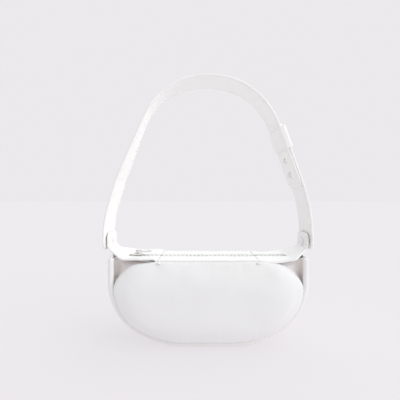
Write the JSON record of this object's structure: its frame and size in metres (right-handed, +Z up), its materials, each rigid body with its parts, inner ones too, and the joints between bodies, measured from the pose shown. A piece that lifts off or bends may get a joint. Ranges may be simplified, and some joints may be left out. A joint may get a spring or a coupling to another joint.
{
  "type": "flower girl basket",
  "caption": "Small half-moon flower girl basket with puffed panels, a zipped flat top and a wide fold-down strap handle.",
  "frame": {"origin": "middle of the flat base, on the surface that the basket stands on", "axes": "+Z up, -Y the front panel, +X the right side seen from the front"},
  "size_m": [0.2044, 0.084, 0.253],
  "materials": {
    "body_leather": "smooth satin faux leather",
    "rim_leather": "rolled edge, satin",
    "fold_leather": "satin, in shade",
    "band_leather": "smooth satin faux leather",
    "strap_leather": "smooth satin faux leather",
    "lining_cloth": "plain woven",
    "foam": "soft foam",
    "board": "grey board",
    "zip_tape": "woven tape",
    "zip_plastic": "moulded",
    "pale_metal": "polished pale metal",
    "white_lacquer": "glossy white lacquer over metal",
    "washer_plastic": "matte"
  },
  "bodies": {
    "basket": {"gusset_band": "body_leather", "front_panel": "body_leather", "back_panel": "body_leather", "front_piping": "rim_leather", "back_piping": "rim_leather", "front_left_fold": "fold_leather", "front_right_fold": "fold_leather", "back_left_fold": "fold_leather", "back_right_fold": "fold_leather", "left_end_patch": "band_leather", "right_end_patch": "band_leather", "gusset_lining": "lining_cloth", "front_lining": "lining_cloth", "back_lining": "lining_cloth", "front_foam": "foam", "back_foam": "foam", "base_board": "board", "left_zip_tail": "zip_tape", "right_zip_tail": "zip_tape", "zip_tail_teeth": "zip_plastic", "left_zip_stop": "pale_metal", "right_zip_stop": "pale_metal", "panel_rivets": "pale_metal", "rivet_burrs": "pale_metal", "left_pivot_rivet": "white_lacquer", "right_pivot_rivet": "white_lacquer", "left_pivot_cap": "white_lacquer", "right_pivot_cap": "white_lacquer", "left_pivot_washer": "washer_plastic", "right_pivot_washer": "washer_plastic"},
    "front_flap": {"front_facing": "band_leather", "front_zip_tape": "zip_tape", "front_zip_teeth": "zip_plastic"},
    "back_flap": {"back_facing": "band_leather", "back_zip_tape": "zip_tape", "back_zip_teeth": "zip_plastic"},
    "slider": {"zip_slider": "pale_metal", "puller_pin": "pale_metal"},
    "puller": {"zip_puller": "pale_metal"},
    "handle": {"long_strap": "strap_leather", "short_strap": "strap_leather", "strap_keeper": "strap_leather", "strap_studs": "pale_metal", "strap_stud_screws": "pale_metal"}
  },
  "joints": [
    {"name": "mouth_front", "type": "hinge", "parent": "basket", "child": "front_flap", "pos_m": [0, -0.028, 0.0772], "axis": [1, 0, 0], "range_deg": [0, 75]},
    {"name": "mouth_back", "type": "hinge", "parent": "basket", "child": "back_flap", "pos_m": [0, 0.028, 0.0772], "axis": [1, 0, 0], "range_deg": [-75, 0]},
    {"name": "zip_slide", "type": "slide", "parent": "basket", "child": "slider", "axis": [1, 0, 0], "range_m": [0, 0.129]},
    {"name": "puller_swing", "type": "hinge", "parent": "slider", "child": "puller", "pos_m": [-0.07, 0, 0.0819], "axis": [0, -1, 0], "range_deg": [0, 120]},
    {"name": "handle_fold", "type": "hinge", "parent": "basket", "child": "handle", "pos_m": [0, 0, 0.092], "axis": [1, 0, 0], "range_deg": [-100, 100]}
  ],
  "couplings": [
    {"joint": "mouth_back", "follows": "mouth_front", "ratio": -1}
  ]
}
